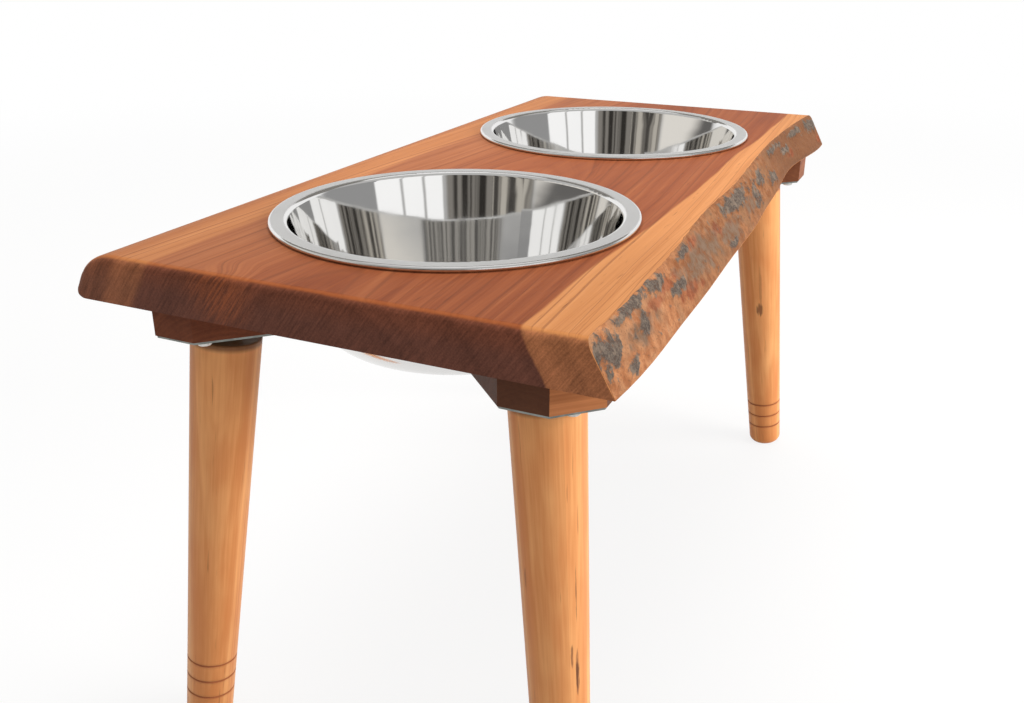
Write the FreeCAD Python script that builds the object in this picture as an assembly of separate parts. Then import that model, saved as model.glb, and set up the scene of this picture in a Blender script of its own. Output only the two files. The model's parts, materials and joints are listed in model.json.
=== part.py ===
import FreeCAD, Part
import math
import os

# Raised dog bowl stand: a thick hardwood slab with one live edge holds two steel bowls by
# their rims, and stands on four splayed round legs. Each leg hangs on a hanger bolt in a
# slanted threaded hub, under a steel plate that is screwed through a wooden block into the slab.
# Millimetres. +X runs along the slab, the live edge faces -Y, +Z is up, and the floor is z = 0.

# Bowls
rim_radius = 107.0           # outside of the rolled rim
flange_width = 10.5          # flat rim, from its outside to the mouth of the bowl
bead_radius = 1.6            # rolled edge of the rim
bead_flat = 0.2              # how far the rolled edge is flattened where it sits on the slab
bowl_depth = 74.0            # from the top of the rim to the outside of the bottom
wall_draft = 16.0            # how much narrower the bowl is at its floor than at its mouth
floor_round = 20.0
lip_round = 3.0              # bend between wall and flange
sheet = 0.8                  # bowl steel

# Slab
slab_thickness = 25.0
bowl_gap = 62.5              # between the two rims
left_end_margin = 40.5       # from the left rim to the end of the slab
right_end_margin = 46.0
back_margin = 31.3           # from the left rim to the back edge of the top, before rounding
front_margin = 31.6          # from the left rim to the live edge of the top, at the left end
right_bowl_shift = 3.0       # how far the right bowl sits behind the left one
back_slope = 13.2            # how far the underside reaches past the top at the back
live_slope_left = 11.7       # the same under the live edge, at the left and right ends
live_slope_right = 13.4
live_taper = 9.6             # how much the underside narrows towards the right end
# Dips of the live edge behind a straight line, left to right, below and above.
under_waves = (-0.3, -2.8, -2.4, -2.3, -1.2, -0.5, 0.1, 2.8, 4.5, 8.0, 8.4, 2.3, 0.0)
top_waves = (2.0, 0.1, 0.7, 1.7, 4.7, 5.3, 4.2, 5.9, 7.8, 8.8, 7.8, 4.9, 0.0)
back_round = 26.0            # upper back edge
lower_round = 6.0            # lower back edge
end_round = 5.0              # edges of both sawn ends, along the top and down the back
hole_clearance = 3.0         # around each bowl where it drops through the slab

# Mount blocks and plates under the corners
block_thickness = 19.0
block_width = 64.0           # across the diagonal of the corner
block_outer = 38.0           # from the leg's hub to the side that faces the corner
block_inner = 26.0           # from the hub to the side that faces the bowl
block_corner_cut = 18.0      # the two outer corners are cut off along the slab's edges
# Wood left between each block and the edge of the bowl hole.
front_left_room = 15.2
back_left_room = 8.5
front_right_room = 9.7
back_right_room = 3.0
# How far each block is slid along the slab, off the diagonal of its bowl.
back_left_slide = 6.6
front_right_slide = -6.6
back_right_slide = 2.7
plate_thickness = 1.5
plate_inset = 1.0            # how far the plate stays inside the block's outline

# Screws that hold plate and block to the slab
screw_radius = 2.1
screw_bite = 8.5             # how far the screws enter the slab
screw_fit = 0.05             # between a screw and its hole in wood
plate_hole_clearance = 0.3
head_radius = 4.0
head_height = 2.6
head_round = 1.5
recess_width = 1.1
recess_length = 4.4
recess_depth = 1.4
side_screw_setback = 24.0    # side screws, from the block's outer side
screw_edge = 6.5             # from a screw's axis to the nearest side of the block
point_room = 1.0             # left free past the end of a screw or bolt
cut_past = 1.0               # how far a cut runs past the face it opens

# Legs
splay_angle = 8.3            # each leg leans out towards its own corner
hub_drop = 8.0               # from the plate to the top of the leg, along the leg
hub_radius = 9.0
bolt_radius = 4.0
bolt_above = 20.0            # machine thread that stands out of the leg
bolt_below = 35.0            # wood thread in the leg
bolt_point = 2.0             # bevel at both ends of the bolt
bolt_fit = 0.05              # running fit of the thread in the hub and in the leg
bolt_clearance = 1.5         # around the bolt in plate and block
leg_length = 256.0
leg_top_radius = 19.5
leg_foot_radius = 14.0
leg_top_round = 1.0
foot_round = 6.0
foot_flat = 1.2              # how far the foot is worn flat on the floor
ring_count = 3
ring_first = 21.0            # lowest ring, from the end of the leg
ring_spacing = 11.8
ring_width = 1.4
ring_depth = 0.6

# Sizes that follow
mouth_radius = rim_radius - flange_width
floor_radius = mouth_radius - wall_draft
hole_radius = mouth_radius + sheet + hole_clearance
rim_rise = 2 * bead_radius - bead_flat
slab_length = 4 * rim_radius + left_end_margin + bowl_gap + right_end_margin
slab_width = 2 * rim_radius + front_margin + live_slope_left + back_margin + back_slope
left_end = -slab_length / 2
right_end = slab_length / 2
back_lean = math.atan2(back_slope, slab_thickness)
lower_reach = lower_round * math.tan(math.pi / 4 + back_lean / 2)
live_step = live_taper / (len(under_waves) - 1)
live_bulge = -min(live_step * i + dip for i, dip in enumerate(under_waves))
under_back = (slab_width + live_bulge + lower_reach - lower_round) / 2
under_front = under_back - slab_width
top_back = under_back - back_slope

left_bowl_x = left_end + left_end_margin + rim_radius
right_bowl_x = right_end - right_end_margin - rim_radius
left_bowl_y = top_back - back_margin - rim_radius
right_bowl_y = left_bowl_y + right_bowl_shift
bowls = {
    "left_bowl": (left_bowl_x, left_bowl_y),
    "right_bowl": (right_bowl_x, right_bowl_y),
}

splay = math.radians(splay_angle)
foot_centre_z = (
    foot_round * (1 - math.cos(splay))
    + (leg_foot_radius - foot_round) * math.sin(splay)
    - foot_flat
)
plate_under = foot_centre_z + (leg_length + hub_drop) * math.cos(splay)
block_under = plate_under + plate_thickness
slab_under = block_under + block_thickness
slab_top = slab_under + slab_thickness
screw_length = plate_thickness + block_thickness + screw_bite

# Every corner: the nearest bowl, the steps from it along X and Y, and the block's room and slide.
corners = {
    "front_left": ("left_bowl", -1, -1, front_left_room, 0.0),
    "back_left": ("left_bowl", -1, 1, back_left_room, back_left_slide),
    "front_right": ("right_bowl", 1, -1, front_right_room, front_right_slide),
    "back_right": ("right_bowl", 1, 1, back_right_room, back_right_slide),
}

# Screws of one plate, from the hub: u towards the corner of the slab, v across.
side_screw_u = block_outer - side_screw_setback
side_screw_v = block_width / 2 - screw_edge
screw_places = (
    (block_outer - screw_edge, 0.0),
    (side_screw_u, side_screw_v),
    (side_screw_u, -side_screw_v),
    (screw_edge - block_inner, 0.0),
)


def vec(x, y, z=0.0):
    return FreeCAD.Vector(x, y, z)


def section(r, z):
    """A point of a turned profile: radius and height."""
    return FreeCAD.Vector(r, 0, z)


def rounded_edges(points, radii):
    """Edges of an open path, with each inner corner rounded by its radius."""
    edges = []
    start = points[0]
    for before, corner, after, radius in zip(points, points[1:], points[2:], radii):
        if radius == 0:
            edges.append(Part.LineSegment(start, corner).toShape())
            start = corner
            continue
        back = (before - corner).normalize()
        ahead = (after - corner).normalize()
        half = back.getAngle(ahead) / 2
        middle = (back + ahead).normalize()
        centre = corner + middle * (radius / math.sin(half))
        reach = radius / math.tan(half)
        arc_start = corner + back * reach
        arc_end = corner + ahead * reach
        edges.append(Part.LineSegment(start, arc_start).toShape())
        edges.append(Part.Arc(arc_start, centre - middle * radius, arc_end).toShape())
        start = arc_end
    edges.append(Part.LineSegment(start, points[-1]).toShape())
    return edges


def shifted_path(points, distance):
    """The same open profile path, moved to its right by a distance."""
    normals = []
    for a, b in zip(points, points[1:]):
        along = (b - a).normalize()
        normals.append(section(along.z, -along.x))
    moved = [points[0] + normals[0] * distance]
    for corner, first, second in zip(points[1:], normals, normals[1:]):
        moved.append(corner + (first + second) * (distance / (1 + first.dot(second))))
    moved.append(points[-1] + normals[-1] * distance)
    return moved


def turned(edges):
    """Solid of revolution about Z from the edges of a closed profile."""
    profile = Part.Wire(Part.__sortEdges__(edges))
    return Part.Face(profile).revolve(vec(0, 0, 0), vec(0, 0, 1), 360)


def round_bar(radius, low, high, x=0.0, y=0.0):
    return Part.makeCylinder(radius, high - low, vec(x, y, low))


def on_leg_axis(shape):
    """Tilt a shape made round Z, with the top of the leg at z = 0, to its place under the hub."""
    tilted = shape.copy()
    tilted.rotate(vec(0, 0, 0), vec(0, 1, 0), -splay_angle)
    tilted.translate(leg_top)
    return tilted


leg_direction = vec(math.sin(splay), 0, -math.cos(splay))
leg_top = vec(0, 0, plate_under) + leg_direction * hub_drop


def hub_place(corner):
    """Where a corner's leg stack stands: the hub's place and the turn towards the corner."""
    bowl, step_x, step_y, room, slide = corners[corner]
    x, y = bowls[bowl]
    outward = vec(step_x, step_y).normalize()
    along_side = vec(step_x, -step_y).normalize()
    place = vec(x, y) + outward * (hole_radius + room + block_inner) + along_side * slide
    return FreeCAD.Placement(place, FreeCAD.Rotation(vec(1, 0), outward))


def placed(shape, corner):
    moved = shape.copy()
    moved.Placement = hub_place(corner).multiply(shape.Placement)
    return moved


def make_bowl():
    """Pressed steel bowl, with z = 0 where its rim sits on the slab."""
    floor_z = rim_rise - bowl_depth + sheet
    bead_r = rim_radius - bead_radius
    bead_z = rim_rise - bead_radius
    inside = [
        section(0, floor_z),
        section(floor_radius, floor_z),
        section(mouth_radius, rim_rise),
        section(bead_r, rim_rise),
    ]
    outside = shifted_path(inside, sheet)
    join_r = bead_r - math.sqrt(bead_radius ** 2 - (bead_radius - sheet) ** 2)
    outside[-1] = section(join_r, rim_rise - sheet)
    seat_half = math.sqrt(bead_radius ** 2 - bead_z ** 2)
    outer_seat = section(bead_r + seat_half, 0)
    inner_seat = section(bead_r - seat_half, 0)
    edges = rounded_edges(inside, (floor_round, lip_round))
    edges += rounded_edges(outside, (floor_round + sheet, lip_round - sheet))
    edges += [
        Part.LineSegment(inside[0], outside[0]).toShape(),
        Part.Arc(inside[-1], section(rim_radius, bead_z), outer_seat).toShape(),
        Part.LineSegment(outer_seat, inner_seat).toShape(),
        Part.Arc(inner_seat, section(bead_r - bead_radius, bead_z), outside[-1]).toShape(),
    ]
    return turned(edges)


def slab_outline(z, back, front_left, front_right, waves):
    """Outline of the slab at one height: three sawn sides and the live edge."""
    points = []
    for i, dip in enumerate(waves):
        share = i / (len(waves) - 1)
        straight = front_left + (front_right - front_left) * share
        points.append(vec(left_end + slab_length * share, straight + dip, z))
    live_edge = Part.BSplineCurve()
    live_edge.interpolate(points)
    back_left = vec(left_end, back, z)
    back_right = vec(right_end, back, z)
    return Part.Wire([
        live_edge.toShape(),
        Part.LineSegment(points[-1], back_right).toShape(),
        Part.LineSegment(back_right, back_left).toShape(),
        Part.LineSegment(back_left, points[0]).toShape(),
    ])


def lower_back_waste():
    """What rounding the lower back edge takes off, along the whole slab."""
    start = left_end - cut_past
    corner = vec(start, under_back, slab_under)
    up_face = vec(0, -math.sin(back_lean), math.cos(back_lean))
    off_face = vec(0, math.cos(back_lean), math.sin(back_lean))
    on_under = corner - vec(0, lower_reach, 0)
    on_back = corner + up_face * lower_reach
    centre = on_under + vec(0, 0, lower_round)
    middle = centre + (corner - centre).normalize() * lower_round
    outside = [
        on_back,
        on_back + off_face * cut_past,
        corner + vec(0, 2 * cut_past, -cut_past),
        on_under - vec(0, 0, cut_past),
        on_under,
    ]
    edges = [Part.Arc(on_under, middle, on_back).toShape()] + Part.makePolygon(outside).Edges
    waste = Part.Face(Part.Wire(Part.__sortEdges__(edges)))
    return waste.extrude(vec(slab_length + 2 * cut_past, 0, 0))


def make_slab():
    """The board: sloping long sides, rounded upper edges, bowl holes and screw holes."""
    under_right = under_front + live_taper
    top_front_left = under_front + live_slope_left
    top_front_right = under_right + live_slope_right
    underside = slab_outline(slab_under, under_back, under_front, under_right, under_waves)
    upper = slab_outline(slab_top, top_back, top_front_left, top_front_right, top_waves)
    board = Part.makeLoft([underside, upper], True, True)
    upper_back = vec(0, top_back, slab_top)
    back_edge = min(board.Edges, key=lambda edge: edge.CenterOfMass.distanceToPoint(upper_back))
    board = board.makeFillet(back_round, [back_edge])
    end_edges = []
    for edge in board.Edges:
        centre = edge.CenterOfMass
        on_end = edge.BoundBox.XLength < end_round / 2
        if on_end and centre.z > slab_under + end_round / 2 and centre.y > under_front / 2:
            end_edges.append(edge)
    board = board.makeFillet(end_round, end_edges).cut(lower_back_waste())
    for x, y in bowls.values():
        board = board.cut(round_bar(hole_radius, slab_under - cut_past, slab_top + cut_past, x, y))
    for corner in corners:
        for u, v in screw_places:
            tip = slab_under + screw_bite + point_room
            hole = round_bar(screw_radius + screw_fit, slab_under - cut_past, tip, u, v)
            board = board.cut(placed(hole, corner))
    return board


def mount_outline(inset, z):
    """Outline of a block or plate round its hub: a square set on the diagonal, corners cut."""
    half = block_width / 2 - inset
    outer = block_outer - inset
    inner = block_inner - inset
    cut = block_corner_cut - inset * (2 - math.sqrt(2))
    right = [vec(outer, half - cut, z), vec(outer - cut, half, z), vec(-inner, half, z)]
    left = [vec(p.x, -p.y, z) for p in reversed(right)]
    return Part.makePolygon(right + left + right[:1])


def bolt_way():
    """Room for the hanger bolt above the hub."""
    top = bolt_above + bolt_clearance + point_room
    return on_leg_axis(round_bar(bolt_radius + bolt_clearance, 0, top))


def make_block():
    block = Part.Face(mount_outline(0, block_under)).extrude(vec(0, 0, block_thickness))
    for u, v in screw_places:
        block = block.cut(round_bar(screw_radius + screw_fit, plate_under, slab_top, u, v))
    return block.cut(bolt_way())


def make_plate():
    plate = Part.Face(mount_outline(plate_inset, plate_under)).extrude(vec(0, 0, plate_thickness))
    for u, v in screw_places:
        hole_r = screw_radius + plate_hole_clearance
        plate = plate.cut(round_bar(hole_r, plate_under - cut_past, block_under + cut_past, u, v))
    return plate.cut(bolt_way())


def make_hub():
    """Slanted threaded boss, welded to the underside of the plate."""
    top = hub_drop + hub_radius
    thread = round_bar(bolt_radius + bolt_fit, -cut_past, top + cut_past)
    boss = round_bar(hub_radius, 0, top).cut(thread)
    above = Part.makeBox(4 * top, 4 * top, 4 * top, vec(-2 * top, -2 * top, plate_under))
    return on_leg_axis(boss).cut(above)


def make_screws():
    """The pan head screws of one plate, heads down."""
    profile = rounded_edges(
        [section(0, -head_height), section(head_radius, -head_height), section(head_radius, 0),
         section(screw_radius, 0), section(screw_radius, screw_length - screw_radius),
         section(0, screw_length)],
        (head_round, 0, 0, 0),
    )
    profile.append(Part.LineSegment(section(0, -head_height), section(0, screw_length)).toShape())
    screw = turned(profile)
    for length, width in ((recess_length, recess_width), (recess_width, recess_length)):
        corner = vec(-length / 2, -width / 2, -head_height)
        screw = screw.cut(Part.makeBox(length, width, recess_depth, corner))
    screws = []
    for u, v in screw_places:
        copy = screw.copy()
        copy.translate(vec(u, v, plate_under))
        screws.append(copy)
    return Part.makeCompound(screws)


def make_bolt():
    """Hanger bolt: machine thread up into the hub, wood thread down into the leg."""
    points = [
        section(0, -bolt_below),
        section(bolt_radius - bolt_point, -bolt_below),
        section(bolt_radius, bolt_point - bolt_below),
        section(bolt_radius, bolt_above - bolt_point),
        section(bolt_radius - bolt_point, bolt_above),
        section(0, bolt_above),
    ]
    profile = Part.makePolygon(points + points[:1])
    return on_leg_axis(turned(profile.Edges))


def make_leg():
    """Tapered leg with burned rings near its foot, worn flat on the floor."""
    bore_r = bolt_radius + bolt_fit
    bore_z = -(bolt_below + point_room)
    points = [section(bore_r, bore_z), section(bore_r, 0), section(leg_top_radius, 0)]
    radii = [0, leg_top_round]
    for i in reversed(range(ring_count)):
        z = ring_first + i * ring_spacing - leg_length
        share = -z / leg_length
        r = leg_top_radius + (leg_foot_radius - leg_top_radius) * share
        points += [
            section(r, z + ring_width / 2),
            section(r - ring_depth, z),
            section(r, z - ring_width / 2),
        ]
        radii += [0, 0, 0]
    points += [section(leg_foot_radius, -leg_length), section(0, -leg_length)]
    radii += [foot_round]
    edges = rounded_edges(points, radii)
    edges.append(Part.LineSegment(section(0, -leg_length), section(0, bore_z)).toShape())
    edges.append(Part.LineSegment(section(0, bore_z), section(bore_r, bore_z)).toShape())
    leg = on_leg_axis(turned(edges))
    reach = 4 * leg_length
    return leg.cut(Part.makeBox(reach, reach, reach, vec(-reach / 2, -reach / 2, -reach)))


def main():
    os.makedirs("parts", exist_ok=True)
    nodes = {"slab": make_slab()}
    bowl = make_bowl()
    for name, (x, y) in bowls.items():
        seated = bowl.copy()
        seated.translate(vec(x, y, slab_top))
        nodes[name] = seated
    stack = {
        "mount_block": make_block(),
        "leg_plate": make_plate(),
        "plate_hub": make_hub(),
        "plate_screws": make_screws(),
        "hanger_bolt": make_bolt(),
        "leg": make_leg(),
    }
    for corner in corners:
        for piece, shape in stack.items():
            nodes[corner + "_" + piece] = placed(shape, corner)
    for name, shape in nodes.items():
        shape.exportStep("parts/" + name + ".step")
        print(name, len(shape.Solids), "solid", round(shape.Volume), "mm3", shape.isValid())


main()
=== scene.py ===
import json
import math

import bpy
from mathutils import Matrix, Vector, noise


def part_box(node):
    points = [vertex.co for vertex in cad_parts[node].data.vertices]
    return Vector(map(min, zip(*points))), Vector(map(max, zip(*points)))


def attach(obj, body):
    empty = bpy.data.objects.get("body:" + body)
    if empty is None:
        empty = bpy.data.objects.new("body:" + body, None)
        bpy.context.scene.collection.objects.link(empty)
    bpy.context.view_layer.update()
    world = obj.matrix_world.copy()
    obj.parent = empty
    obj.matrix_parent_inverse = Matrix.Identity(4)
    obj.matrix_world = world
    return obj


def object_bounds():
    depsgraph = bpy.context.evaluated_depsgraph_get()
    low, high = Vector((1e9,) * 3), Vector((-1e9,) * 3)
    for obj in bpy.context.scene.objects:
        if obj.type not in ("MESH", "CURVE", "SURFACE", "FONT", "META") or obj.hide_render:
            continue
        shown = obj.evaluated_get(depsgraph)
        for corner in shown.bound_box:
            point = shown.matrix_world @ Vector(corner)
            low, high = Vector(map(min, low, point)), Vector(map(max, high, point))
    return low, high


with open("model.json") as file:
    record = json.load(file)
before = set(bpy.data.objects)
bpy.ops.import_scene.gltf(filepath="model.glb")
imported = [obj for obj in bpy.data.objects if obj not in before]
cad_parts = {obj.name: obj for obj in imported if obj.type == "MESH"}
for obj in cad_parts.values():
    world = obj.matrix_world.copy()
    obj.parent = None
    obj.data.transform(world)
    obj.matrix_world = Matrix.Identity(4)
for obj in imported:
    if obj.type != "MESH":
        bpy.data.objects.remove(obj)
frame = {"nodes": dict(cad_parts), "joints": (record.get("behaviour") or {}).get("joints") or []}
cad_low, cad_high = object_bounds()
nodes = frame["nodes"]

CORNERS = ("front_left", "back_left", "front_right", "back_right")
BOWLS = ("left_bowl", "right_bowl")

# Places that the looks are measured from, in metres
bowl_low, bowl_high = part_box("left_bowl")
slab_low, slab_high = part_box("slab")
RIM_TOP = bowl_high.z
SLAB_TOP = slab_high.z
SLAB_UNDER = slab_low.z


def rgb(r, g, b):
    return (r, g, b, 1.0)


WHITE = rgb(1.0, 1.0, 1.0)


# Shader graphs

class Graph:
    """Adds nodes to one shader tree; sockets or plain values may be given as inputs."""

    def __init__(self, tree):
        self.tree = tree

    def feed(self, socket, value):
        if isinstance(value, bpy.types.NodeSocket):
            self.tree.links.new(value, socket)
        else:
            socket.default_value = value

    def add(self, kind, inputs=None, **settings):
        node = self.tree.nodes.new(kind)
        for key, value in settings.items():
            setattr(node, key, value)
        for key, value in (inputs or {}).items():
            self.feed(node.inputs[key], value)
        return node

    def coords(self):
        return self.add("ShaderNodeTexCoord").outputs["Object"]

    def normal(self):
        return self.add("ShaderNodeTexCoord").outputs["Normal"]

    # Numbers

    def math(self, operation, a, b=0.0, clamp=False):
        node = self.add("ShaderNodeMath", {0: a, 1: b}, operation=operation, use_clamp=clamp)
        return node.outputs[0]

    def plus(self, a, b):
        return self.math("ADD", a, b)

    def minus(self, a, b):
        return self.math("SUBTRACT", a, b)

    def times(self, a, b):
        return self.math("MULTIPLY", a, b)

    def weighted(self, first, *others):
        """Sum of pairs of a value and its weight."""
        total = self.times(*first)
        for pair in others:
            total = self.plus(total, self.times(*pair))
        return total

    def between(self, value, low, high):
        """Smooth step: 0 at low and 1 at high; low may be the larger one."""
        node = self.add("ShaderNodeMapRange", {0: value, 1: low, 2: high},
                        clamp=True, interpolation_type="SMOOTHSTEP")
        return node.outputs[0]

    def rise(self, value, low, high, amount):
        """Smooth step from 0 at low to the amount at high."""
        return self.times(self.between(value, low, high), amount)

    def window(self, value, low, high, soft):
        """1 between low and high, with soft limits."""
        return self.times(self.between(value, low - soft, low + soft),
                          self.between(value, high + soft, high - soft))

    # Vectors

    def vector(self, operation, a, b):
        node = self.add("ShaderNodeVectorMath", {0: a, 1: b}, operation=operation)
        return node.outputs["Vector"]

    def shifted(self, a, b):
        return self.vector("ADD", a, b)

    def offset(self, a, b):
        return self.vector("SUBTRACT", a, b)

    def scaled(self, a, b):
        return self.vector("MULTIPLY", a, b)

    def length(self, a):
        return self.add("ShaderNodeVectorMath", {0: a}, operation="LENGTH").outputs["Value"]

    def dot(self, a, b):
        node = self.add("ShaderNodeVectorMath", {0: a, 1: b}, operation="DOT_PRODUCT")
        return node.outputs["Value"]

    def parts(self, a):
        node = self.add("ShaderNodeSeparateXYZ", {0: a})
        return node.outputs[0], node.outputs[1], node.outputs[2]

    def combined(self, x, y, z=0.0):
        return self.add("ShaderNodeCombineXYZ", {0: x, 1: y, 2: z}).outputs[0]

    # Noise

    def noise_node(self, vector, scale, detail, roughness):
        return self.add("ShaderNodeTexNoise", {
            "Vector": vector, "Scale": scale, "Detail": detail, "Roughness": roughness,
        })

    def noise(self, vector, scale=1.0, detail=2.0, roughness=0.5):
        return self.noise_node(vector, scale, detail, roughness).outputs["Fac"]

    def streaks(self, vector, scales, detail=2.0, roughness=0.5):
        """Noise with its own scale along each axis."""
        return self.noise(self.scaled(vector, scales), 1.0, detail, roughness)

    def bands(self, along, scale, detail=2.0, roughness=0.5):
        """Noise that changes in one direction only."""
        node = self.add("ShaderNodeTexNoise", {
            "W": along, "Scale": scale, "Detail": detail, "Roughness": roughness,
        }, noise_dimensions="1D")
        return node.outputs["Fac"]

    def drift(self, vector, scales):
        """Slow noise vector about zero."""
        node = self.noise_node(self.scaled(vector, scales), 1.0, 2.0, 0.5)
        return self.offset(node.outputs["Color"], (0.5, 0.5, 0.5))

    def centred(self, value, size):
        """Noise value about zero, times a size."""
        return self.times(self.minus(value, 0.5), size)

    # Colours

    def mix(self, share, a, b):
        node = self.add("ShaderNodeMix", {"Factor": share}, data_type="RGBA")
        self.feed(node.inputs[6], a)
        self.feed(node.inputs[7], b)
        return node.outputs[2]

    def shade(self, colour, amount):
        """Colour times a grey amount."""
        node = self.add("ShaderNodeMix", {"Factor": 1.0}, data_type="RGBA", blend_type="MULTIPLY")
        self.feed(node.inputs[6], colour)
        self.feed(node.inputs[7], self.combined(amount, amount, amount))
        return node.outputs[2]

    def ramp(self, value, *stops):
        node = self.add("ShaderNodeValToRGB", {"Fac": value})
        points = node.color_ramp.elements
        while len(points) < len(stops):
            points.new(0.5)
        for point, (place, colour) in zip(points, stops):
            point.position = place
            point.color = colour
        return node.outputs["Color"]

    def bump(self, height, distance, strength):
        node = self.add("ShaderNodeBump", {
            "Height": height, "Distance": distance, "Strength": strength,
        })
        return node.outputs["Normal"]


class Surface(Graph):
    """Graph of a new material with one Principled shader."""

    def __init__(self, name):
        self.material = bpy.data.materials.new(name)
        self.material.use_nodes = True
        super().__init__(self.material.node_tree)

    def finish(self, colour, roughness, normal, **fixed):
        inputs = self.tree.nodes["Principled BSDF"].inputs
        self.feed(inputs["Base Color"], colour)
        self.feed(inputs["Roughness"], roughness)
        self.feed(inputs["Normal"], normal)
        for key, value in fixed.items():
            inputs[key.replace("_", " ")].default_value = value
        return self.material


def paint(name, material):
    node = nodes[name]
    if node.material_slots:
        for place in node.material_slots:
            place.material = material
    else:
        node.data.materials.append(material)


# Wood

PITH = (0.0, 0.0039, 0.230)
ACROSS_X = (0.0, 1.0, 1.0)
SLAB_DRIFT_SCALES, SLAB_DRIFT = (2.4, 7.0, 7.0), (0.0, 0.022, 0.016)
FINE_DRIFT_SCALES, FINE_DRIFT = (9.0, 40.0, 40.0), (0.0, 0.0022, 0.0022)
# Growth of the ring radius along X, which makes the grain arch
RING_SLOPE = 0.05
# The knot on the left end: its middle, its shape, its reach and how far it pulls the rings
KNOT_PLACE = (-0.292, 0.054, 0.300)
KNOT_SHAPE = (0.8, 1.0, 1.0)
KNOT_REACH = 0.026
KNOT_PULL = 0.012
# Cosine and sine of the saw marks' slant on the end
SAW_COS, SAW_SIN = 0.80, 0.60


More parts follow.
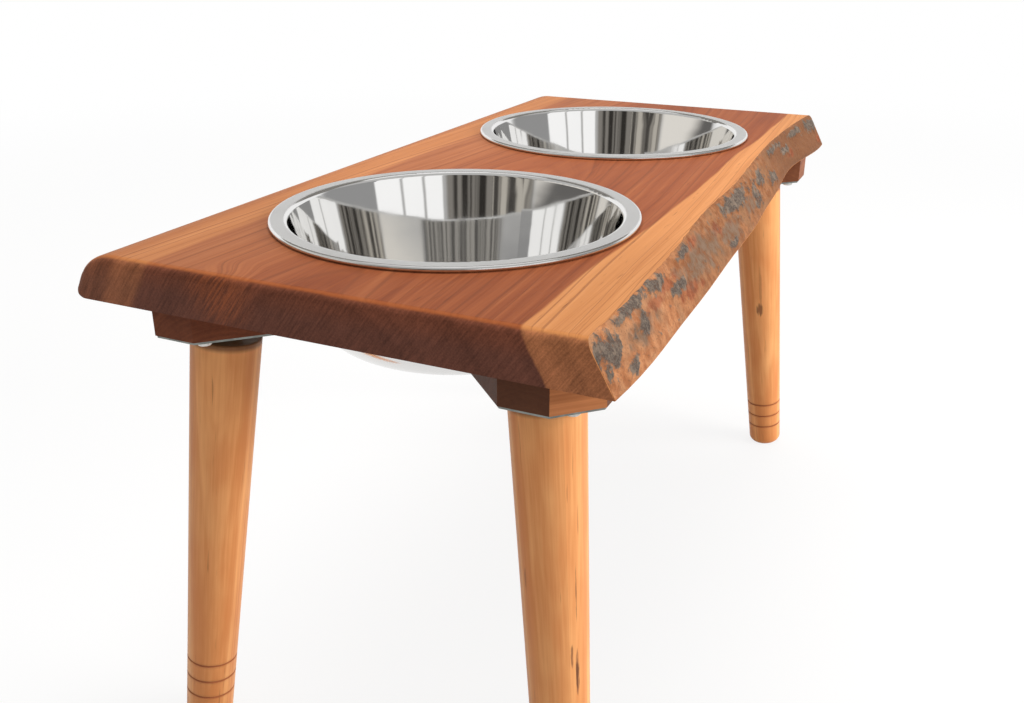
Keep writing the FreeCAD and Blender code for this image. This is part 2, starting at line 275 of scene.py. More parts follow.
def cherry_slab():
    """Slab wood: growth rings round a pith that runs along X below the board."""
    g = Surface("slab_cherry")
    p = g.coords()
    x, y, z = g.parts(p)
    moved = g.shifted(p, g.scaled(g.drift(p, SLAB_DRIFT_SCALES), SLAB_DRIFT))
    moved = g.shifted(moved, g.scaled(g.drift(p, FINE_DRIFT_SCALES), FINE_DRIFT))
    knot = g.length(g.scaled(g.offset(p, KNOT_PLACE), KNOT_SHAPE))
    knot_pull = g.between(knot, KNOT_REACH, 0.0)
    flat = g.scaled(g.offset(moved, PITH), ACROSS_X)
    r = g.plus(g.length(flat), g.times(knot_pull, KNOT_PULL))

    arched = g.plus(r, g.times(x, RING_SLOPE))
    rings = g.bands(arched, 240.0, 3.0, 0.62)
    wide = g.bands(arched, 62.0)
    fibre = g.streaks(p, (13.0, 520.0, 520.0), 3.0, 0.6)
    cloud = g.streaks(p, (5.0, 26.0, 26.0))
    tone = g.weighted((rings, 0.34), (wide, 0.22), (fibre, 0.34), (cloud, 0.20))

    # Heartwood, browner towards the back
    heart = g.ramp(
        tone,
        (0.30, rgb(0.122, 0.031, 0.013)),
        (0.46, rgb(0.238, 0.063, 0.024)),
        (0.60, rgb(0.308, 0.091, 0.035)),
        (0.78, rgb(0.400, 0.140, 0.056)),
    )
    heart = g.shade(heart, g.plus(0.90, g.rise(y, 0.0, 0.07, 0.14)))
    browner = g.ramp(
        tone,
        (0.30, rgb(0.190, 0.062, 0.024)),
        (0.50, rgb(0.330, 0.124, 0.052)),
        (0.78, rgb(0.450, 0.195, 0.088)),
    )
    heart = g.mix(g.rise(y, 0.01, 0.09, 0.55), heart, browner)

    # Sapwood outside a ragged ring: full at the front, a fainter band at the back
    sap = g.ramp(
        tone,
        (0.30, rgb(0.350, 0.126, 0.040)),
        (0.46, rgb(0.482, 0.194, 0.068)),
        (0.62, rgb(0.553, 0.238, 0.089)),
        (0.80, rgb(0.638, 0.306, 0.126)),
    )
    edge_r = g.plus(r, g.centred(g.streaks(p, (11.0, 60.0, 60.0), 3.0), 0.004))
    front = g.between(y, 0.02, -0.02)
    front_sap = g.times(g.between(edge_r, 0.1318, 0.1336), front)
    back_band = g.minus(g.between(edge_r, 0.121, 0.127), g.rise(edge_r, 0.139, 0.146, 0.55))
    back_sap = g.times(g.times(back_band, 0.55), g.minus(1.0, front))
    sap_share = g.math("ADD", front_sap, back_sap, clamp=True)
    colour = g.mix(sap_share, heart, sap)

    # Late wood lines, dark lines, gum flecks and the knot
    late = g.times(g.between(g.bands(r, 900.0, 2.0, 0.7), 0.53, 0.66), g.between(r, 0.140, 0.152))
    colour = g.mix(g.times(late, 0.62), colour, rgb(0.340, 0.120, 0.038))
    dark_line = g.rise(g.bands(arched, 420.0, 2.0, 0.6), 0.57, 0.70, 0.46)
    colour = g.mix(dark_line, colour, rgb(0.150, 0.045, 0.020))
    gum = g.streaks(p, (42.0, 900.0, 900.0))
    colour = g.mix(g.rise(gum, 0.66, 0.76, 0.5), colour, rgb(0.090, 0.030, 0.016))
    colour = g.mix(g.rise(knot, 0.016, 0.004, 0.65), colour, rgb(0.200, 0.056, 0.021))
    knot_rings = g.times(knot_pull, g.between(rings, 0.42, 0.62))
    colour = g.mix(g.times(knot_rings, 0.35), colour, rgb(0.560, 0.205, 0.070))
    # Painted light: the middle of the slab along X is made up to 13 % brighter, standing in for the
    # light that falls off towards its ends
    middle = g.times(g.between(x, -0.22, -0.06), g.between(x, 0.27, 0.10))
    colour = g.shade(colour, g.plus(1.0, g.times(middle, 0.13)))

    # The ends: a painted highlight along the rounded arris, then end grain with saw marks, painted
    # lighter and redder near the top as if lit there
    facing_x = g.math("ABSOLUTE", g.parts(g.normal())[0])
    arris_highlight_colour = g.mix(sap_share, rgb(0.430, 0.120, 0.034), rgb(0.640, 0.250, 0.078))
    colour = g.mix(g.rise(facing_x, 0.05, 0.30, 0.45), colour, arris_highlight_colour)
    pores = g.streaks(p, (500.0, 1100.0, 1100.0))
    slant = g.weighted((y, SAW_COS), (z, SAW_SIN))
    cross = g.minus(g.times(z, SAW_COS), g.times(y, SAW_SIN))
    saw = g.noise(g.combined(g.times(slant, 900.0), g.times(cross, 60.0)), 1.0, 2.0, 0.6)
    end_tone = g.plus(g.rise(pores, 0.35, 0.65, 0.16), g.times(saw, 0.86))
    end_tone = g.plus(end_tone, g.plus(0.25, g.centred(wide, 0.7)))
    end_colour = g.mix(sap_share, rgb(0.205, 0.076, 0.050), rgb(0.520, 0.196, 0.086))
    # Painted light: the top of the end face is made lighter and redder, as if lit over the rounded
    # arris
    lit_top_colour = g.mix(sap_share, rgb(0.300, 0.088, 0.042), rgb(0.560, 0.210, 0.086))
    painted_lit_top = g.rise(z, SLAB_TOP - 0.016, SLAB_TOP - 0.004, 0.55)
    end_colour = g.mix(painted_lit_top, end_colour, lit_top_colour)
    knot_glow = g.times(g.between(knot, KNOT_REACH, 0.006), g.between(saw, 0.20, 0.70))
    end_colour = g.mix(g.times(knot_glow, 0.7), end_colour, rgb(0.430, 0.118, 0.042))
    colour = g.mix(g.between(facing_x, 0.40, 0.74), colour, g.shade(end_colour, end_tone))

    grain = g.weighted((fibre, 0.6), (rings, 0.4))
    return g.finish(
        colour,
        roughness=g.plus(g.times(fibre, 0.14), 0.46),
        normal=g.bump(grain, 0.00022, 0.55),
        Specular_IOR_Level=0.10,
    )


# Blocks and legs: the pith's place beside the piece, and how far a seed moves the grain along
STICK_PITH = (0.0, 0.034, 0.011)
SEED_STEP = 0.37
STICK_DRIFT_SCALES, STICK_DRIFT = (3.0, 14.0, 14.0), (0.0, 0.012, 0.012)
RING_HALF = 0.0008


def stick_wood(name, origin, axis, pale, dark, seed, knots=(), rings=(),
               shaded_top=0.0, end_grain_and_shade=0.0, gloss=0.25):
    """Wood with its grain along an axis: for the blocks and the legs."""
    g = Surface(name)
    grain_axis = Vector(axis).normalized()
    side_axis = grain_axis.orthogonal().normalized()
    along, side, across = (tuple(v) for v in (grain_axis, side_axis, grain_axis.cross(side_axis)))
    local = g.offset(g.coords(), tuple(origin))
    s = g.dot(local, along)
    q = g.combined(s, g.dot(local, side), g.dot(local, across))
    q = g.shifted(q, (SEED_STEP * seed, 0.0, 0.0))
    moved = g.shifted(q, g.scaled(g.drift(q, STICK_DRIFT_SCALES), STICK_DRIFT))
    r = g.length(g.scaled(g.shifted(moved, STICK_PITH), ACROSS_X))

    growth = g.bands(r, 300.0, 3.0, 0.6)
    wide = g.bands(r, 70.0)
    fibre = g.streaks(q, (12.0, 560.0, 560.0), 3.0, 0.6)
    tone = g.weighted((growth, 0.40), (wide, 0.34), (fibre, 0.28))
    tone = g.plus(tone, g.centred(g.streaks(q, (22.0, 60.0, 60.0)), 0.35))
    colour = g.mix(g.between(tone, 0.34, 0.72), dark, pale)
    gum = g.streaks(q, (26.0, 620.0, 620.0))
    colour = g.mix(g.rise(gum, 0.67, 0.76, 0.45), colour, rgb(0.230, 0.075, 0.025))

    for place, (half_wide, half_long), depth, knot_colour in knots:
        gap = g.offset(g.coords(), tuple(place))
        gap_along = g.dot(gap, along)
        shadow = g.add("ShaderNodeVectorMath", {0: along, "Scale": gap_along}, operation="SCALE")
        gap_across = g.length(g.offset(gap, shadow.outputs[0]))
        far = g.plus(g.math("POWER", g.math("DIVIDE", gap_across, half_wide), 2.0),
                     g.math("POWER", g.math("DIVIDE", gap_along, half_long), 2.0))
        far = g.plus(far, g.centred(g.streaks(q, (120.0, 700.0, 700.0)), 1.6))
        colour = g.mix(g.rise(far, 1.0, 0.2, depth), colour, knot_colour)
    # End grain darkens towards a dark brown; the strength also paints the shade that falls on these
    # faces under the slab
    if end_grain_and_shade:
        facing = g.math("ABSOLUTE", g.dot(g.normal(), along))
        colour = g.mix(g.rise(facing, 0.45, 0.70, end_grain_and_shade), colour, rgb(0.076, 0.033, 0.023))
    if shaded_top:
        top = g.rise(s, shaded_top, shaded_top * 0.3, 0.75)
        colour = g.mix(top, colour, rgb(0.060, 0.024, 0.012))
    for place in rings:
        wobble = g.centred(g.streaks(q, (40.0, 160.0, 160.0)), 0.0006)
        gap = g.math("ABSOLUTE", g.plus(g.minus(s, place), wobble))
        halo = g.rise(gap, RING_HALF * 3.0, RING_HALF, 0.22)
        colour = g.mix(halo, colour, rgb(0.330, 0.115, 0.040))
        burn = g.rise(gap, RING_HALF * 1.15, RING_HALF * 0.55, 0.85)
        colour = g.mix(burn, colour, rgb(0.360, 0.110, 0.042))
    return g.finish(
        colour,
        roughness=g.plus(g.times(fibre, 0.16), 0.36),
        normal=g.bump(g.plus(fibre, growth), 0.00012, 0.5),
        Specular_IOR_Level=gloss,
    )


# Steel

def bowl_steel(centre):
    """Polished inside, satin outside and flat satin rim with turning marks."""
    g = Surface("bowl_steel_" + str(round(centre.x * 1000)))
    p = g.offset(g.coords(), (centre.x, centre.y, 0.0))
    z = g.parts(p)[2]
    level = g.scaled(p, (1.0, 1.0, 0.0))
    r = g.length(level)
    normal = g.normal()
    outward = g.math("DIVIDE", g.dot(normal, level), r)
    outside = g.between(g.minus(outward, g.parts(normal)[2]), 0.05, 0.30)
    turning = g.bands(r, 5200.0, 2.0, 0.6)
    rim = g.times(g.between(r, 0.0972, 0.0985), g.between(r, 0.1062, 0.1052))
    rim = g.times(rim, g.between(z, RIM_TOP - 0.004, RIM_TOP - 0.002))
    smear = g.streaks(p, (30.0, 30.0, 12.0), 3.0, 0.55)
    ripple = g.streaks(p, (20.0, 20.0, 55.0), 1.0)

    rough = g.plus(0.045, g.rise(smear, 0.5, 0.75, 0.05))
    rough = g.plus(rough, g.times(rim, g.plus(0.30, g.times(turning, 0.12))))
    rough = g.plus(rough, g.times(outside, 0.13))
    colour = g.mix(smear, rgb(0.860, 0.855, 0.845), rgb(0.920, 0.915, 0.905))
    colour = g.mix(outside, colour, rgb(0.760, 0.755, 0.745))
    colour = g.mix(rim, colour, rgb(0.930, 0.925, 0.915))
    height = g.weighted((ripple, 0.7), (g.times(turning, rim), 0.10))
    return g.finish(colour, rough, g.bump(height, 0.00035, 0.35), Metallic=1.0)


def zinc(name, pale, dark, rough_low, scale):
    """Zinc-plated steel: faint mottling and drawn scratches."""
    g = Surface(name)
    p = g.coords()
    spangle = g.noise(p, scale, 3.0, 0.6)
    scratch = g.streaks(p, (90.0, 1500.0, 1500.0))
    colour = g.mix(g.between(spangle, 0.35, 0.65), dark, pale)
    rough = g.plus(rough_low, g.weighted((spangle, 0.14), (scratch, 0.10)))
    return g.finish(colour, rough, g.bump(scratch, 0.00005, 0.5), Metallic=1.0)


# Materials of the CAD pieces

paint("slab", cherry_slab())
for bowl in BOWLS:
    low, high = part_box(bowl)
    paint(bowl, bowl_steel((low + high) / 2))
plate_zinc = zinc("plate_zinc", rgb(0.26, 0.27, 0.25), rgb(0.16, 0.17, 0.155), 0.30, 160.0)
screw_zinc = zinc("screw_zinc", rgb(0.62, 0.61, 0.58), rgb(0.46, 0.45, 0.43), 0.20, 420.0)
bolt_zinc = zinc("bolt_zinc", rgb(0.60, 0.59, 0.56), rgb(0.44, 0.43, 0.41), 0.28, 300.0)

LEG_LENGTH = 0.256
LEG_PALE = rgb(0.930, 0.462, 0.180)
LEG_DARK = rgb(0.705, 0.262, 0.084)
RINGS_FROM_FOOT = (0.021, 0.0328, 0.0446)
SHADED_TOP = 0.005
KNOT_BROWN = rgb(0.150, 0.050, 0.022)
PITCH_BROWN = rgb(0.110, 0.036, 0.018)
# Block wood by corner: the grain's direction, its pale and dark tone, and how far the faces across
# the grain go towards a darker brown: darker end grain with painted shade on top of it
BLOCK_TONES = {
    "front_left": ((-1.0, 1.0, 0.0), rgb(0.570, 0.232, 0.096), rgb(0.315, 0.116, 0.046), 0.88),
    # Painted shade: the front_right block's tones are darker to stand for the shade under the live
    # edge
    "front_right": ((1.0, 0.0, 0.0), rgb(0.300, 0.105, 0.042), rgb(0.165, 0.050, 0.020), 0.45),
}
COMMON_BLOCK = ((1.0, 0.0, 0.0), rgb(0.385, 0.120, 0.054), rgb(0.205, 0.058, 0.027), 0.50)
BLOCK_GLOSS = 0.05
# Knots and pitch streaks on the legs: depth down the leg, place across and out from its axis,
# half width, half length, strength and colour. The two level directions are fixed in the frame.
MARK_ACROSS = Vector((0.39, -0.92, 0.0))
MARK_OUT = Vector((-0.92, -0.39, 0.0))
LEG_MARKS = {
    "front_right": (
        (0.112, -0.004, 0.0165, 0.0034, 0.0075, 0.75, KNOT_BROWN),
        (0.088, -0.003, 0.0170, 0.0016, 0.0260, 0.35, KNOT_BROWN),
    ),
    "front_left": (
        (0.140, 0.0102, 0.0136, 0.0015, 0.0150, 0.90, PITCH_BROWN),
        (0.129, 0.0074, 0.0152, 0.0011, 0.0075, 0.70, PITCH_BROWN),
        (0.104, 0.0106, 0.0142, 0.0006, 0.0300, 0.55, PITCH_BROWN),
    ),
}

joints = {joint["name"]: joint for joint in frame["joints"]}
for seed, corner in enumerate(CORNERS):
    leg_turn = joints[corner + "_leg_turn"]
    top = Vector(leg_turn["pos_m"])
    down = Vector(leg_turn["axis"]).normalized()
    block_low, block_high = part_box(corner + "_mount_block")
    block_grain, block_pale, block_dark, end_shade_share = BLOCK_TONES.get(corner, COMMON_BLOCK)
    paint(corner + "_mount_block", stick_wood(
        corner + "_block_cherry", (block_low + block_high) / 2, block_grain,
        block_pale, block_dark, seed + 1, end_grain_and_shade=end_shade_share, gloss=BLOCK_GLOSS))
    marks = []
    for depth, across, out, half_wide, half_long, share, colour in LEG_MARKS.get(corner, ()):
        place = top + down * depth + across * MARK_ACROSS + out * MARK_OUT
        marks.append((place, (half_wide, half_long), share, colour))
    paint(corner + "_leg", stick_wood(
        corner + "_leg_wood", top, down, LEG_PALE, LEG_DARK, seed + 5, knots=marks,
        rings=[LEG_LENGTH - height for height in RINGS_FROM_FOOT], shaded_top=SHADED_TOP))
    paint(corner + "_leg_plate", plate_zinc)
    paint(corner + "_plate_hub", plate_zinc)
    paint(corner + "_plate_screws", screw_zinc)
    paint(corner + "_hanger_bolt", bolt_zinc)


# Live edge: a grid skin of bark over the slab's front

# Patches: place along X in metres, height as a share of the edge's height, half length in metres
# and half height as a share
DARK_PATCHES = (
    (-0.277, 0.64, 0.013, 0.30), (-0.262, 0.17, 0.008, 0.13), (-0.240, 0.95, 0.026, 0.11),
    (-0.203, 0.88, 0.018, 0.13), (-0.176, 0.52, 0.016, 0.11), (-0.150, 0.88, 0.016, 0.08),
    (-0.236, 0.54, 0.010, 0.15), (-0.060, 0.16, 0.012, 0.08), (-0.014, 0.76, 0.036, 0.20),
    (0.034, 0.44, 0.013, 0.22), (0.064, 0.64, 0.016, 0.18), (0.100, 0.36, 0.016, 0.16),
    (0.140, 0.84, 0.026, 0.10), (0.176, 0.56, 0.014, 0.10), (0.222, 0.82, 0.020, 0.10),
    (0.268, 0.74, 0.018, 0.20),
)
PALE_PATCHES = (
    (-0.238, 0.50, 0.022, 0.26), (-0.120, 0.56, 0.054, 0.36), (-0.056, 0.34, 0.030, 0.24),
    (0.010, 0.40, 0.020, 0.20),
)
RED_PATCHES = (
    (-0.212, 0.64, 0.016, 0.13), (-0.186, 0.70, 0.020, 0.12), (-0.160, 0.28, 0.020, 0.16),
    (-0.126, 0.84, 0.018, 0.12), (-0.074, 0.64, 0.012, 0.15), (-0.046, 0.44, 0.008, 0.13),
    (0.190, 0.36, 0.010, 0.14), (0.276, 0.30, 0.008, 0.14),
)
# Noise fields on the edge: where each is cut from the noise, its scale and its octaves
RAGGED = (3.1, 110.0, 6)
GRIT = (4.9, 520.0, 3)
STRAY_DARK = (6.1, 190.0, 5)
PALE_EDGE = (7.7, 110.0, 5)
RED_EDGE = (5.3, 120.0, 5)
LUMPS = (1.7, 70.0, 3)
LIP_EDGE = (9.1, 90.0, 4)
# The skin's grid, with a few rows that lap over the top, and its sizes in metres
COLUMNS, ROWS, LIP_ROWS = 760, 34, 3
END_INSET = 0.0004
END_FADE = 0.006
EDGE_HEIGHT = 0.03
UNDER_GAP, BOTH_GAPS = 0.0002, 0.0005
TOP_PROBE = 0.035
PROBE_REACH = 0.1
LUMP_BASE, LUMP_DARK, LUMP_NOISE, LUMP_GRIT = 0.0006, 0.0008, 0.0007, 0.0004
LUMP_LEAST = 0.0002
SKIN_LIFT = 0.00012
TOP_LIFT = 0.0002
LIP_BASE, LIP_NOISE = 0.0006, 0.0012
LIP_SINK = 0.00004
BULGE_HEIGHT, BULGE_PLACE, BULGE_HALF = 0.0034, 0.226, 0.030


def patch_share(patches, x, share):
    """How far a place on the live edge lies inside a patch: 1 in the middle, below 0 outside."""
    best = -1.0
    for middle, height, half_length, half_height in patches:
        off = math.hypot((x - middle) / half_length, (share - height) / half_height)
        best = max(best, 1.0 - off)
    return best


def fuzz(x, height, field):
    cut, scale, octaves = field
    return noise.fractal(Vector((x, height, cut)) * scale, 1.0, 2.0, octaves)


def soft_step(value, low, high):
    t = min(max((value - low) / (high - low), 0.0), 1.0)
    return t * t * (3 - 2 * t)


def bark_material():
    """Tan cambium with red, pale and dark bark where the skin's attributes ask for it."""
    g = Surface("live_edge_bark")
    p = g.coords()

    def painted(name):
        return g.add("ShaderNodeAttribute", attribute_name=name).outputs["Fac"]

    speckle = g.noise(p, 900.0, 3.0, 0.65)
    mottle = g.noise(p, 170.0, 4.0, 0.65)
    broad = g.noise(p, 60.0)
    along = g.parts(p)[0]
    tan = g.mix(g.between(mottle, 0.34, 0.66), rgb(0.245, 0.094, 0.040), rgb(0.385, 0.175, 0.082))
    tan = g.mix(g.rise(broad, 0.46, 0.66, 0.5), tan, rgb(0.300, 0.170, 0.094))
    tan = g.shade(tan, g.minus(1.22, g.rise(along, -0.22, -0.12, 0.38)))
    tan = g.mix(g.rise(along, 0.06, 0.16, 0.75), tan, rgb(0.150, 0.066, 0.034))
    tan = g.mix(g.rise(speckle, 0.52, 0.70, 0.6), tan, rgb(0.140, 0.072, 0.042))
    red = g.mix(g.between(mottle, 0.4, 0.6), rgb(0.180, 0.046, 0.022), rgb(0.280, 0.086, 0.042))
    pale = g.mix(g.between(mottle, 0.36, 0.64), rgb(0.116, 0.072, 0.047), rgb(0.195, 0.128, 0.088))
    dark = g.mix(g.between(speckle, 0.36, 0.70), rgb(0.056, 0.046, 0.040), rgb(0.160, 0.126, 0.102))
    dark = g.mix(g.rise(mottle, 0.46, 0.66, 0.8), dark, rgb(0.225, 0.172, 0.132))
    colour = g.mix(g.times(painted("red"), 0.7), tan, red)
    colour = g.mix(g.times(painted("pale"), g.between(mottle, 0.28, 0.58)), colour, pale)
    crumbs = g.plus(painted("dark"), g.centred(speckle, 1.5))
    crumbs = g.plus(crumbs, g.centred(mottle, 1.2))
    colour = g.mix(g.between(crumbs, 0.16, 0.92), colour, dark)
    return g.finish(
        colour,
        roughness=g.plus(0.62, g.times(mottle, 0.25)),
        normal=g.bump(g.weighted((speckle, 0.6), (mottle, 0.8)), 0.0008, 0.7),
        Specular_IOR_Level=0.15,
    )


def new_piece(name, vertices, faces, material, body):
    mesh = bpy.data.meshes.new(name)
    mesh.from_pydata(vertices, [], faces)
    mesh.validate()
    mesh.materials.append(material)
    for face in mesh.polygons:
        face.use_smooth = True
    piece = bpy.data.objects.new(name, mesh)
    bpy.context.scene.collection.objects.link(piece)
    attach(piece, body)
    return piece


def bark_shares(x, share, height, ragged, grit):
    """Dark, pale and red shares of the bark at one place."""
    dark_at = patch_share(DARK_PATCHES, x, share) + 0.85 * ragged + 0.35 * grit
    pale_at = patch_share(PALE_PATCHES, x, share) + 0.6 * fuzz(x, height, PALE_EDGE)
    red_at = patch_share(RED_PATCHES, x, share) + 0.7 * fuzz(x, height, RED_EDGE)
    stray = 0.7 * soft_step(fuzz(x, height, STRAY_DARK), 0.40, 0.85)
    dark = max(soft_step(dark_at, -0.22, 0.38), stray)
    return dark, soft_step(pale_at, -0.15, 0.55), soft_step(red_at, -0.05, 0.45)


def live_edge_bark():
    """Skin over the live edge: ragged bark patches stand up from the bare cambium."""
    slab = nodes["slab"]
    down, inward = Vector((0, 0, -1)), Vector((0, 1, 0))
    length = slab_high.x - slab_low.x - 2 * END_INSET
    vertices, paints = [], []
    for i in range(COLUMNS + 1):
        x = slab_low.x + END_INSET + length * i / COLUMNS
        end_fade = soft_step(min(x - slab_low.x, slab_high.x - x), 0.0, END_FADE)
        above = Vector((x, slab_low.y + TOP_PROBE, SLAB_TOP + PROBE_REACH))
        local_top = slab.ray_cast(above, down)[1].z
        bulge = BULGE_HEIGHT * math.exp(-((x - BULGE_PLACE) / BULGE_HALF) ** 2)
        for j in range(ROWS + LIP_ROWS + 1):
            share = min(j / ROWS, 1.0)
            height = share * EDGE_HEIGHT
            grit = fuzz(x, height, GRIT)
            shares = bark_shares(x, share, height, fuzz(x, height, RAGGED), grit)
            if j <= ROWS:
                z = SLAB_UNDER + UNDER_GAP + (local_top - SLAB_UNDER - BOTH_GAPS) * share
                before = Vector((x, slab_low.y - PROBE_REACH, z))
                _, place, normal, _ = slab.ray_cast(before, inward)
                crease = place.y
                lump = LUMP_BASE + LUMP_DARK * shares[0]
                lump = lump + LUMP_NOISE * fuzz(x, height, LUMPS) + LUMP_GRIT * grit
                edge_fade = min(soft_step(share, 0.0, 0.16), soft_step(1.0 - share, -0.05, 0.10))
                lift = max(lump, LUMP_LEAST) * edge_fade * end_fade + SKIN_LIFT
                lift += bulge * soft_step(share, -0.01, 0.06) * soft_step(1.0 - share, 0.25, 0.8)
                point = place + normal * lift
                point.z = min(point.z, local_top + TOP_LIFT)
                point.y = max(point.y, cad_low.y)
            else:
                over = (j - ROWS) / LIP_ROWS
                reach = LIP_BASE + LIP_NOISE * max(0.0, 0.4 + fuzz(x, 0.0, LIP_EDGE))
                rolled = local_top + TOP_LIFT * (1.0 - over) ** 2 - LIP_SINK
                point = Vector((x, crease + reach * end_fade * over, rolled))
            vertices.append(point)
            paints.append(shares)
    across = ROWS + LIP_ROWS + 1
    faces = []
    for i in range(COLUMNS):
        for j in range(across - 1):
            a = i * across + j
            faces.append((a, a + across, a + across + 1, a + 1))
    piece = new_piece("live_edge_bark", vertices, faces, bark_material(), "stand")
    for k, name in enumerate(("dark", "pale", "red")):
        layer = piece.data.attributes.new(name, "FLOAT", "POINT")
        layer.data.foreach_set("value", [shares[k] for shares in paints])


live_edge_bark()


# Floor, light and camera

FLOOR_REACH = 8.0
FLOOR_COLOUR = rgb(0.80, 0.795, 0.79)
# The light that the floor throws back on the stand comes from a darker colour
FLOOR_BOUNCE = rgb(0.52, 0.50, 0.48)
# Share of the floor's own white glow inside the near radius and outside the far radius
NEAR_RADIUS, NEAR_GLOW = 0.4, 0.84
FAR_RADIUS, FAR_GLOW = 2.6, 1.0


def stage_floor():
    """Pale floor that fades to the white of the world round it."""
    mesh = bpy.data.meshes.new("floor")
    r = FLOOR_REACH
    mesh.from_pydata([(-r, -r, 0), (r, -r, 0), (r, r, 0), (-r, r, 0)], [], [(0, 1, 2, 3)])
    floor = bpy.data.objects.new("floor", mesh)
    bpy.context.scene.collection.objects.link(floor)
    material = bpy.data.materials.new("pale_floor")
    material.use_nodes = True
    material.node_tree.nodes.clear()
    g = Graph(material.node_tree)
    path = g.add("ShaderNodeLightPath").outputs
    bounce = g.mix(path["Is Diffuse Ray"], FLOOR_COLOUR, FLOOR_BOUNCE)
    diffuse = g.add("ShaderNodeBsdfDiffuse", {"Color": bounce})
    glow = g.add("ShaderNodeEmission", {"Color": WHITE})
    fade = g.add("ShaderNodeMapRange", {
        0: g.length(g.coords()), 1: NEAR_RADIUS, 2: FAR_RADIUS, 3: NEAR_GLOW, 4: FAR_GLOW,
    }, interpolation_type="SMOOTHSTEP")
    seen = g.math("MAXIMUM", path["Is Camera Ray"], path["Is Glossy Ray"])
    share = g.times(seen, fade.outputs[0])
    mixed = g.add("ShaderNodeMixShader", {0: share, 1: diffuse.outputs[0], 2: glow.outputs[0]})
    g.add("ShaderNodeOutputMaterial", {"Surface": mixed.outputs[0]})
    mesh.materials.append(material)


# Lamps: place, target, width, height, watts and colour
LAMPS = {
    "key_right": ((0.45, -1.95, 0.90), (0.0, 0.0, 0.22), 1.3, 0.9, 45.0, (1.0, 0.97, 0.93)),
    "top_soft": ((0.45, 0.25, 2.1), (0.0, 0.0, 0.25), 1.6, 1.2, 39.5, (1.0, 0.99, 0.98)),
}


def area_light(name, place, target, width, height, power, colour):
    data = bpy.data.lights.new(name, "AREA")
    data.shape = "RECTANGLE"
    data.size = width
    data.size_y = height
    data.energy = power
    data.color = colour
    lamp = bpy.data.objects.new(name, data)
    lamp.location = place
    lamp.rotation_mode = "QUATERNION"
    lamp.rotation_quaternion = (Vector(target) - Vector(place)).to_track_quat("-Z", "Y")
    # The steel reflects the world's panes in place of the lamps
    lamp.visible_glossy = False
    bpy.context.scene.collection.objects.link(lamp)


# The room that polished metal sees. Azimuths, elevations and softness are in degrees.
PANES = ((-142.0, -129.0), (-127.0, -112.0), (-110.0, -90.0))
PANE_SOFT = 0.8
PANE_HEIGHT = (-6.0, 30.0, 1.5)
FAR_WALL = (-42.0, 82.0, 8.0)
FAR_BARS_HEIGHT = (25.0, 58.0, 2.0)
GREY_SIDE = (-98.0, -42.0, 6.0)
BACK_SIDE = (-182.0, -145.0, 1.5)
DIM_SIDE = (148.0, 182.0, 2.0)
PALE_SIDE = (84.0, 147.0, 3.0)
LOW_WALLS = (34.0, 26.0)
BAR_SCALE = 0.16
# Direction that the soft fill comes from
FILL_FROM = (-0.86, -0.48, 0.17)


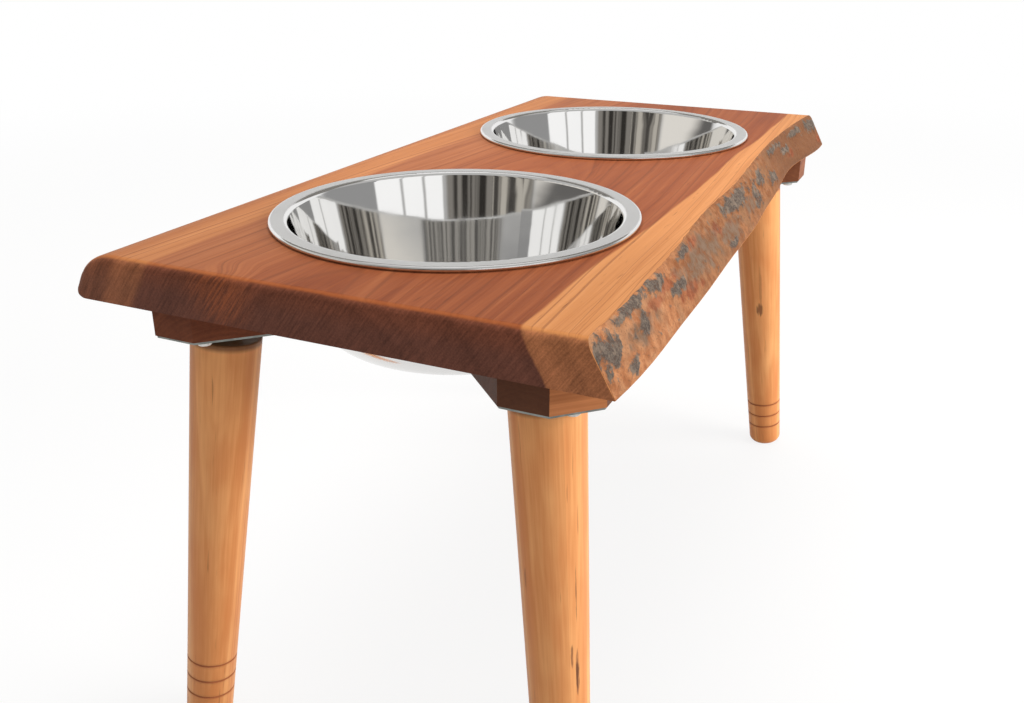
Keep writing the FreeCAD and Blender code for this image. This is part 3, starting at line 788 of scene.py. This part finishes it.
def room_world():
    """White behind the stand; polished metal sees a plain room with bright panes on one side."""
    world = bpy.data.worlds.new("studio")
    bpy.context.scene.world = world
    world.use_nodes = True
    world.node_tree.nodes.clear()
    g = Graph(world.node_tree)
    direction = g.add("ShaderNodeTexCoord").outputs["Generated"]
    x, y, z = g.parts(direction)
    azimuth = g.times(g.math("ARCTAN2", y, x), 180 / math.pi)
    elevation = g.times(g.math("ARCSINE", z), 180 / math.pi)

    bars = g.between(g.bands(azimuth, BAR_SCALE), 0.40, 0.60)
    low_walls = g.between(elevation, *LOW_WALLS)
    room = g.mix(g.between(elevation, 0.0, 40.0), rgb(0.42, 0.415, 0.41), rgb(0.50, 0.497, 0.49))
    far_bars = g.mix(bars, rgb(0.10, 0.095, 0.09), rgb(0.34, 0.325, 0.30))
    far_wall = g.mix(g.window(elevation, *FAR_BARS_HEIGHT), rgb(0.92, 0.92, 0.92), far_bars)
    room = g.mix(g.window(azimuth, *FAR_WALL), room, far_wall)
    back_bars = g.mix(bars, rgb(0.030, 0.027, 0.024), rgb(0.22, 0.205, 0.185))
    dim_bars = g.mix(bars, rgb(0.060, 0.055, 0.050), rgb(0.46, 0.43, 0.38))
    pale_wall = g.mix(g.between(elevation, 6.0, 9.0), rgb(0.13, 0.125, 0.12), rgb(0.76, 0.73, 0.68))
    for side, wall in ((GREY_SIDE, rgb(0.30, 0.30, 0.30)), (BACK_SIDE, back_bars),
                       (DIM_SIDE, dim_bars), (PALE_SIDE, pale_wall)):
        room = g.mix(g.times(g.window(azimuth, *side), low_walls), room, wall)
    for left, right in PANES:
        pane = g.times(g.window(azimuth, left, right, PANE_SOFT),
                       g.window(elevation, *PANE_HEIGHT))
        room = g.mix(pane, room, WHITE)

    path = g.add("ShaderNodeLightPath").outputs
    towards = g.between(g.dot(direction, FILL_FROM), -0.2, 1.0)
    soft_fill = g.mix(towards, rgb(0.15, 0.15, 0.152), rgb(0.72, 0.715, 0.71))
    lit = g.mix(path["Is Glossy Ray"], soft_fill, room)
    direct = g.math("MAXIMUM", path["Is Camera Ray"], path["Is Transmission Ray"])
    shown = g.mix(direct, lit, WHITE)
    background = g.add("ShaderNodeBackground", {"Color": shown, "Strength": 1.0})
    g.add("ShaderNodeOutputWorld", {"Surface": background.outputs[0]})


# The photo's camera: its place from the middle of the left bowl's rim, its angles and its lens
CAMERA_FROM_BOWL = Vector((-0.50655, -0.27002, 0.15340))
CAMERA_YAW = math.radians(24.832)
CAMERA_PITCH = math.radians(22.934)
CAMERA_ROLL = math.radians(0.104)
SENSOR_WIDTH = 36.0
FOCAL_LENGTH = 35.677
CLIP_START = 0.01


def photo_camera():
    look = Vector((
        math.cos(CAMERA_YAW) * math.cos(CAMERA_PITCH),
        math.sin(CAMERA_YAW) * math.cos(CAMERA_PITCH),
        -math.sin(CAMERA_PITCH),
    ))
    right = look.cross(Vector((0, 0, 1))).normalized()
    up = right.cross(look)
    turned_right = right * math.cos(CAMERA_ROLL) + up * math.sin(CAMERA_ROLL)
    turned_up = up * math.cos(CAMERA_ROLL) - right * math.sin(CAMERA_ROLL)
    lens = bpy.data.cameras.new("camera")
    lens.sensor_fit = "HORIZONTAL"
    lens.sensor_width = SENSOR_WIDTH
    lens.lens = FOCAL_LENGTH
    lens.clip_start = CLIP_START
    camera = bpy.data.objects.new("camera", lens)
    axes = Matrix((turned_right, turned_up, -look)).transposed().to_4x4()
    rim_centre = (bowl_low + bowl_high) / 2
    rim_centre.z = RIM_TOP
    camera.matrix_world = Matrix.Translation(rim_centre + CAMERA_FROM_BOWL) @ axes
    bpy.context.scene.collection.objects.link(camera)
    bpy.context.scene.camera = camera


stage_floor()
for lamp_name, settings in LAMPS.items():
    area_light(lamp_name, *settings)
room_world()
photo_camera()
bpy.context.scene.view_settings.view_transform = "Standard"
